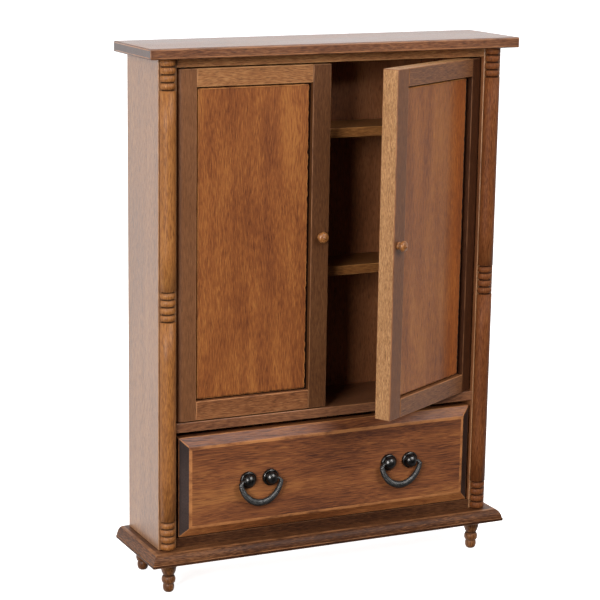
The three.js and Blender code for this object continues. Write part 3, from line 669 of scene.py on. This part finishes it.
def turned(name, centre, direction, kind, seed, half=False, segments=64, rings=None):
    """A smooth turning through a node's CAD rings. half keeps only the front half, closed flat."""
    profile = smooth_profile(rings or rings_of(name, centre, direction))
    count = segments // 2 + 1 if half else segments
    angles = [2 * math.pi * i / segments for i in range(count)]
    bm = bmesh.new()
    rows = spun_rows(bm, profile, centre, direction, angles)
    skin(bm, rows, closed=not half)
    if half:
        bm.faces.new([row[0] for row in rows] + [row[-1] for row in reversed(rows) if len(row) > 1])
    # Each point's depth in a groove is kept as "shade": painted shade in the grooves.
    shades = []
    for row, depth in zip(rows, hollowness(profile)):
        shades += [depth if len(row) > 1 else 0.0] * len(row)
    material = MATERIALS[kind] if kind in METALS else wood_of(kind)
    finish_piece(bm, name, [material], "Z", seed, shades=shades)


# ---- carcass --------------------------------------------------------------------------------

COLUMN_GROOVE_SHARE = 0.6       # how much deeper than the CAD's the grooves of the beads are
# The right column's darker tone is painted shade from the open right door.
COLUMN_WOODS = {"left": "turned", "right": "turned_painted_shade"}


def make_boards():
    rim_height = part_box("base_board")[1][2] - EDGE_ON_PLANE

    def at_rim(ends):
        return all(point.z > rim_height for point in ends)

    softened("top_board", "case", "X", 3, edge_mm=0.25,
             other=[(lambda n: abs(n.x) > FACING, "top_end")])
    # The base's upright faces take a darker tone: painted shade on its lower band.
    softened("base_board", "base", "X", 8, edge_mm=0.20, wide_mm=0.45, wide_test=at_rim,
             side_along="Y", other=[(lambda n: abs(n.z) < 0.08 and n.y < 0.5, "base_band_painted_shade")])
    softened("side_panel_left", "side", "Z", 5, other=[(lambda n: n.x > FACING, "inside")])
    softened("side_panel_right", "side", "Z", 12, other=[(lambda n: n.x < -FACING, "inside")])
    # The carcass top's front strip takes the lighter rail tone: painted light on a strip under the top
    # board's overhang.
    softened("carcass_top", "rail", "X", 7)
    softened("middle_board", "case", "X", 21)
    softened("bottom_board", "floor_board", "X", 14, edge_mm=0.08)
    softened("upper_shelf", "shelf", "X", 31)
    softened("lower_shelf", "shelf", "X", 17)
    softened("back_panel", "inside", "Z", 9, edge_mm=0.1)


def make_feet():
    for number, word in enumerate(("front_left", "front_right", "rear_left", "rear_right")):
        name = f"foot_{word}"
        centre = middle_of(name)
        turned(name, Vector((centre.x, centre.y, 0)), UPWARDS, "foot", 41 + number)


def make_columns():
    for number, word in enumerate(("left", "right")):
        name = f"column_{word}"
        axis_foot = Vector((middle_of(name).x, 0, 0))
        rings = deepened(rings_of(name, axis_foot, UPWARDS), COLUMN_GROOVE_SHARE)
        turned(name, axis_foot, UPWARDS, COLUMN_WOODS[word], 51 + number, half=True, rings=rings)


# ---- doors ----------------------------------------------------------------------------------

DOOR_EDGE_MM = 0.26
DOOR_WOODS = {
    "left": {"hinge": "hinge_stile", "meeting": "meeting_stile", "top": "rail",
             "bottom": "low_rail", "panel": "panel"},
    # The right door's hinge stile takes a darker tone: painted shade beside the column.
    "right": {"hinge": "hinge_stile_painted_shade", "meeting": "far_stile", "top": "far_rail",
              "bottom": "far_rail", "panel": "far_panel"},
}
PANEL_ROUNDING = 0.45 * MM
PANEL_CORNER = 0.5 * MM
PANEL_STEP = 0.55 * MM
TONGUE_ROUNDING = 0.15 * MM
# How ragged a field's left, right and short edges are, and how far its right edge stops short.
FIELD_CHIPS = {"left": (0.10 * MM, 0.40 * MM, 0.14 * MM), "right": (0.14 * MM, 0.45 * MM, 0.14 * MM)}
FIELD_SHORTFALL = {"left": 0.40 * MM, "right": 1.70 * MM}
ROUGH_CHIP, FINE_CHIP = 1.7 * MM, 0.6 * MM      # how long the chips along an edge are


def bite_at(along, length, depth, seed, side):
    """How far one side of a field is bitten away at one place: chips, and a round at each end."""
    rough = mathutils_noise.noise(Vector((along / ROUGH_CHIP, seed, side)))
    fine = mathutils_noise.noise(Vector((along / FINE_CHIP, seed + 5, side)))
    bite = depth * max(0.0, 0.25 + 1.1 * rough + 0.5 * fine)
    near = min(along, length - along)
    if near < PANEL_CORNER:
        bite += PANEL_CORNER - math.sqrt(PANEL_CORNER ** 2 - (PANEL_CORNER - near) ** 2)
    return bite


def field_outline(low, high, chips, seed):
    """Points up the right edge of a panel's raised field, back along the top, down the left edge
    and along the bottom, chipped a little by the saw and the chisel."""
    sides = []
    corners = [Vector((high.x, low.z)), Vector((high.x, high.z)),
               Vector((low.x, high.z)), Vector((low.x, low.z))]
    for index, corner in enumerate(corners):
        edge = corners[(index + 1) % 4] - corner
        direction, length = edge.normalized(), edge.length
        inward = Vector((-direction.y, direction.x))
        depth = (chips[1], chips[2], chips[0], chips[2])[index]
        count = int(length / PANEL_STEP)
        points = []
        for step in range(count):
            along = (step + 0.5) * length / count
            bite = bite_at(along, length, depth, seed, index)
            points.append(corner + direction * along + inward * bite)
        sides.append(points)
    return sides


def rounded_section(front, rear, radius, steps=4):
    """(inset, depth) from front to rear of a field's rim, rounded at both."""
    turns = [math.pi / 2 * i / steps for i in range(steps + 1)]
    rounding = [(radius * (1 - math.sin(a)), radius * (1 - math.cos(a))) for a in turns]
    section = [(inset, front + depth) for inset, depth in rounding]
    return section + [(inset, rear - depth) for inset, depth in reversed(rounding)]


def inset_row(bm, axes, outline, inset, y):
    """The outline of a field, moved inwards, as a row of vertices at the depth y."""
    row = []
    for index, point in enumerate(outline):
        ahead = outline[(index + 1) % len(outline)]
        behind = outline[index - 1]
        tangent = (ahead - behind).normalized()
        inner = point + Vector((-tangent.y, tangent.x)) * inset
        row.append(bm.verts.new(axes @ Vector((inner.x, y, inner.y))))
    return row


def close_field(bm, row, counts):
    """Closes a ragged outline with strips from its right edge to its left edge."""
    right = row[:counts[0]]
    top = row[counts[0]:counts[0] + counts[1]]
    left = row[counts[0] + counts[1]:counts[0] + counts[1] + counts[2]][::-1]
    bottom = row[-counts[3]:]
    for k in range(len(right) - 1):
        bm.faces.new((right[k], right[k + 1], left[k + 1], left[k]))
    bm.faces.new([right[-1]] + top + [left[-1]])
    bm.faces.new([left[0]] + bottom + [right[0]])


def add_tongue(bm, axes, low, high):
    """The thin plate round the field, near black: painted shade in the gap round the field."""
    plate = bmesh.ops.create_cube(bm, size=1.0)["verts"]
    for vertex in plate:
        share = [vertex.co[i] + 0.5 for i in range(3)]
        vertex.co = axes @ Vector([low[i] + share[i] * (high[i] - low[i]) for i in range(3)])
    for face in {face for vertex in plate for face in vertex.link_faces}:
        face.material_index = 2
    edges = list({edge for vertex in plate for edge in vertex.link_edges})
    bmesh.ops.bevel(bm, geom=edges, offset=TONGUE_ROUNDING, segments=2, profile=0.5,
                    affect="EDGES", material=2)


def make_panel(word, seed):
    """A raised panel with a rounded, slightly ragged rim, and the tongue that rides in the frame."""
    name = f"{word}_door_panel"
    axes = AXES[BODY_OF[name]]
    points = own_points(name)
    low, high = box_of(points)
    field_low, field_high = box_of([p for p in points if p.y < low.y + ON_PLANE])
    tongue_low, tongue_high = box_of([p for p in points if p.x < low.x + ON_PLANE])
    field_high.x -= FIELD_SHORTFALL[word]
    sides = field_outline(field_low, field_high, FIELD_CHIPS[word], seed)
    outline = [point for side in sides for point in side]
    counts = [len(side) for side in sides]
    bm = bmesh.new()
    section = rounded_section(low.y, high.y, PANEL_ROUNDING)
    rows = [inset_row(bm, axes, outline, inset, y) for inset, y in section]
    # The rounded rim shows wear and a painted highlight.
    for face in skin(bm, rows):
        face.material_index = 1
    close_field(bm, rows[0], counts)
    close_field(bm, rows[-1], counts)
    add_tongue(bm, axes, Vector((low.x, tongue_low.y, low.z)),
               Vector((high.x, tongue_high.y, high.z)))
    kind = DOOR_WOODS[word]["panel"]
    kinds = [wood_of(kind), worn_and_highlit_wood_of(kind), wood_of("panel_tongue_painted_shade")]
    finish_piece(bm, name, kinds, "Z", seed)


def make_knob(word, seed):
    name = f"{word}_door_knob"
    axes = AXES[BODY_OF[name]]
    low, high = box_of(own_points(name))
    centre = axes @ Vector(((low.x + high.x) / 2, low.y, (low.z + high.z) / 2))
    outward = axes.to_3x3() @ Vector((0, -1, 0))
    turned(name, centre, outward, "knob", seed, segments=48)


def make_door(word, seed):
    kinds = DOOR_WOODS[word]
    softened(f"{word}_door_hinge_stile", kinds["hinge"], "Z", seed, edge_mm=DOOR_EDGE_MM)
    free_side = 1 if word == "left" else -1
    # The meeting stile's free edge and top take a lighter tone: painted light.
    softened(f"{word}_door_meeting_stile", kinds["meeting"], "Z", seed + 1, edge_mm=DOOR_EDGE_MM,
             other=[(lambda n: n.x * free_side > FACING or n.z > FACING, "edge_painted_light")])
    # The top rail's top takes a lighter tone: painted light.
    softened(f"{word}_door_top_rail", kinds["top"], "X", seed + 2, edge_mm=DOOR_EDGE_MM,
             other=[(lambda n: n.z > FACING, "edge_painted_light")])
    softened(f"{word}_door_bottom_rail", kinds["bottom"], "X", seed + 3, edge_mm=DOOR_EDGE_MM)
    make_panel(word, seed + 4)
    make_knob(word, seed + 5)
    for end in ("bottom", "top"):
        pin = f"{word}_door_{end}_pivot"
        turned(pin, middle_of(pin), UPWARDS, "pin", seed + 6, segments=24)


# ---- drawer ---------------------------------------------------------------------------------

def make_drawer():
    front_y = box_of(own_points("drawer_front"))[0].y

    def on_field(ends):
        return all(abs(point.y - front_y) < EDGE_ON_PLANE for point in ends)

    # Its side bevels show dark end grain; its downward-facing faces take a lighter tone: painted light.
    softened("drawer_front", "drawer", "X", 61, wide_mm=0.55, wide_test=on_field,
             other=[(lambda n: abs(n.x) > 0.35, "end"), (lambda n: n.z < -0.35, "drawer_low_painted_light")])
    for number, word in enumerate(("side_left", "side_right", "back", "bottom")):
        along = "Y" if word.startswith("side") else "X"
        softened(f"drawer_{word}", "inside", along, 63 + number, edge_mm=0.12)


# ---- pulls ----------------------------------------------------------------------------------

POST_SINK = 0.4 * MM            # how far a post reaches into the drawer front
BAIL_BELLY = 1.20 * MM          # half thickness at the bottom of the crescent
BAIL_WAIST = 0.70 * MM          # and near its ends
BAIL_BEND = 0.9 * MM
PIN_RADIUS = 0.4 * MM
PIN_REACH = 5.6 * MM            # from the bail's outside to the end of its pin
ARC_STEPS, ARC_MARGIN = 40, 0.045
BAIL_STATIONS, BAIL_SIDES = 300, 32
BAIL_RIBS, RIB_DEPTH = 56, 0.15


def post_profile(radius, height, steps=10):
    """A post's round collar and the ball that stands in it, as (radius, along)."""
    ball, seat = 0.76 * radius, 0.36 * height
    points = [(0.0, -POST_SINK), (radius, -POST_SINK), (radius, 0.14 * height)]
    points += [(0.95 * radius, 0.28 * height), (0.87 * radius, 0.34 * height)]
    points.append((0.72 * radius, 0.31 * height))
    for i in range(1, steps):
        angle = math.pi / 2 * i / steps
        points.append((ball * math.cos(angle), seat + (height - seat) * math.sin(angle)))
    points.append((0.0, height))
    return points


def make_post(name, field_y, seed):
    low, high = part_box(name)
    centre = Vector(((low[0] + high[0]) / 2, field_y, (low[2] + high[2]) / 2))
    rings = post_profile((high[2] - low[2]) / 2, field_y - low[1])
    turned(name, centre, Vector((0, -1, 0)), "post", seed, segments=48, rings=rings)


def bail_outline(half_width, drop):
    """Points down the middle of the bail about its pivots, and its half thickness at each: thin
    ends that turn in and run into the posts as pins, and a crescent between them."""
    pin_end, bend = half_width - PIN_REACH, half_width - BAIL_BEND - BAIL_WAIST
    points = [Vector((-pin_end, 0, 0)), Vector((-bend, 0, 0))]
    widths = [PIN_RADIUS, PIN_RADIUS]
    for i in range(ARC_STEPS + 1):
        share = ARC_MARGIN + (1 - 2 * ARC_MARGIN) * i / ARC_STEPS
        angle = math.pi * (1 + share)
        thick = BAIL_WAIST + (BAIL_BELLY - BAIL_WAIST) * math.sin(math.pi * share) ** 0.8
        points.append(Vector(((half_width - thick) * math.cos(angle), 0,
                              (drop - thick) * math.sin(angle))))
        widths.append(thick)
    points += [Vector((bend, 0, 0)), Vector((pin_end, 0, 0))]
    widths += [PIN_RADIUS, PIN_RADIUS]
    return points, widths


def even_steps(points, widths, steps):
    """The same line in even steps, as (point, width)."""
    lengths = [0.0]
    for first, second in zip(points, points[1:]):
        lengths.append(lengths[-1] + (second - first).length)
    made = []
    for i in range(steps + 1):
        goal = lengths[-1] * i / steps
        k = max(j for j in range(len(lengths) - 1) if lengths[j] <= goal + 1e-9)
        share = (goal - lengths[k]) / (lengths[k + 1] - lengths[k])
        width = widths[k] + share * (widths[k + 1] - widths[k])
        made.append((points[k].lerp(points[k + 1], share), width))
    return made


def bail_row(bm, place, normal, thick, deep, share):
    """One ring of vertices round the bail, with the slanting ribs it was cast with."""
    row = []
    for j in range(BAIL_SIDES):
        turn = 2 * math.pi * j / BAIL_SIDES
        fade = min(1.0, 7 * share, 7 * (1 - share))
        wave = 0.5 + 0.5 * math.cos(2 * math.pi * BAIL_RIBS * share + 2 * turn)
        offset = normal * math.cos(turn) * thick + Vector((0, 1, 0)) * math.sin(turn) * deep
        row.append(bm.verts.new(place + offset * (1 - RIB_DEPTH * fade * wave)))
    return row


def make_bail(word, seed):
    """A crescent swept along its curve, thick at the bottom, cast with fine slanting ribs."""
    name = f"{word}_pull_bail"
    low, high = (Vector(corner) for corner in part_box(name))
    pivot = Vector(JOINTS[f"{word}_bail_hinge"]["pos_m"])
    outline = bail_outline((high.x - low.x) / 2, pivot.z - low.z)
    path = even_steps(*outline, BAIL_STATIONS)
    bm = bmesh.new()
    rows = []
    for i, (middle, thick) in enumerate(path):
        ahead, behind = path[min(i + 3, BAIL_STATIONS)][0], path[max(i - 3, 0)][0]
        tangent = (ahead - behind).normalized()
        normal = Vector((tangent.z, 0, -tangent.x))
        deep = min((high.y - low.y) / 2, 0.35 * MM + 0.75 * thick)
        rows.append(bail_row(bm, pivot + middle, normal, thick, deep, i / BAIL_STATIONS))
    skin(bm, rows)
    for row in (rows[0], rows[-1]):
        bm.faces.new(row)
    finish_piece(bm, name, [MATERIALS["bail"]], "Z", seed)


def make_pulls():
    field_y = box_of(own_points("drawer_front"))[0].y
    for number, word in enumerate(("left", "right")):
        for end_number, end in enumerate(("left", "right")):
            make_post(f"{word}_pull_{end}_post", field_y, 71 + 2 * number + end_number)
        make_bail(word, 81 + number)


# ---- stage ----------------------------------------------------------------------------------

FLOOR_HALF_WIDTH = 6
FLOOR_GLOW = 0.72
WORLD_STRENGTH = 1.45
# How bright the studio is, from straight in front of the piece to straight behind it.
WORLD_STOPS = [(0.0, (0.05, 0.05, 0.05)), (0.36, (0.08, 0.08, 0.08)), (0.50, (0.34, 0.34, 0.34)),
               (0.64, (1.0, 1.0, 1.0))]
LIGHTS_AIM = Vector((0, 0, 0.09))
# Place, width and height, power in watts.
LIGHTS = {
    "key_left": (Vector((-0.78, -0.64, 0.36)), (0.40, 0.50), 10.5),
    "fill_high": (Vector((0.40, -0.80, 0.76)), (0.6, 0.6), 8.8),
}


def make_floor():
    """A pale floor that takes shadows, but throws no light up at the piece."""
    bm = bmesh.new()
    bmesh.ops.create_grid(bm, x_segments=1, y_segments=1, size=FLOOR_HALF_WIDTH)
    mesh = bpy.data.meshes.new("floor")
    bm.to_mesh(mesh)
    bm.free()
    floor = bpy.data.objects.new("floor", mesh)
    bpy.context.collection.objects.link(floor)
    floor.visible_diffuse = False
    floor.visible_glossy = False
    material, _, shader = new_material("pale_floor")
    shader.inputs["Base Color"].default_value = (0.9, 0.9, 0.9, 1)
    shader.inputs["Roughness"].default_value = 0.9
    shader.inputs["Specular IOR Level"].default_value = 0.0
    shader.inputs["Emission Color"].default_value = (1, 1, 1, 1)
    shader.inputs["Emission Strength"].default_value = FLOOR_GLOW
    mesh.materials.append(material)


def make_world():
    """A white studio: bright behind and to the right, dim in front, where the camera stands."""
    world = bpy.data.worlds.new("studio")
    bpy.context.scene.world = world
    world.use_nodes = True
    tree = world.node_tree
    direction = node(tree, "ShaderNodeTexCoord").outputs["Generated"]
    parts = node(tree, "ShaderNodeSeparateXYZ", {0: direction}).outputs
    behind = math_node(tree, "MULTIPLY_ADD", parts["X"], 0.12, parts["Y"])
    brightness = ramp(tree, math_node(tree, "MULTIPLY_ADD", behind, 0.5, 0.5), WORLD_STOPS)
    lighting = node(tree, "ShaderNodeBackground", {"Color": brightness, "Strength": WORLD_STRENGTH})
    seen = node(tree, "ShaderNodeBackground", {"Color": (1, 1, 1, 1), "Strength": 1.0})
    camera_ray = node(tree, "ShaderNodeLightPath").outputs["Is Camera Ray"]
    joined = node(tree, "ShaderNodeMixShader", {
        0: camera_ray, 1: lighting.outputs[0], 2: seen.outputs[0]})
    output = next(item for item in tree.nodes if item.type == "OUTPUT_WORLD")
    tree.links.new(joined.outputs[0], output.inputs["Surface"])


def make_lights():
    for name, (place, size, power) in LIGHTS.items():
        data = bpy.data.lights.new(name, "AREA")
        data.shape = "RECTANGLE"
        data.size, data.size_y = size
        data.energy = power
        lamp = bpy.data.objects.new(name, data)
        lamp.location = place
        lamp.rotation_euler = (LIGHTS_AIM - place).to_track_quat("-Z", "Y").to_euler()
        bpy.context.collection.objects.link(lamp)


# ---- build ----------------------------------------------------------------------------------

bpy.context.scene.view_settings.view_transform = "Standard"
make_camera()
make_metals()
make_boards()
make_feet()
make_columns()
make_door("left", 101)
make_door("right", 131)
make_drawer()
make_pulls()
make_floor()
make_world()
make_lights()
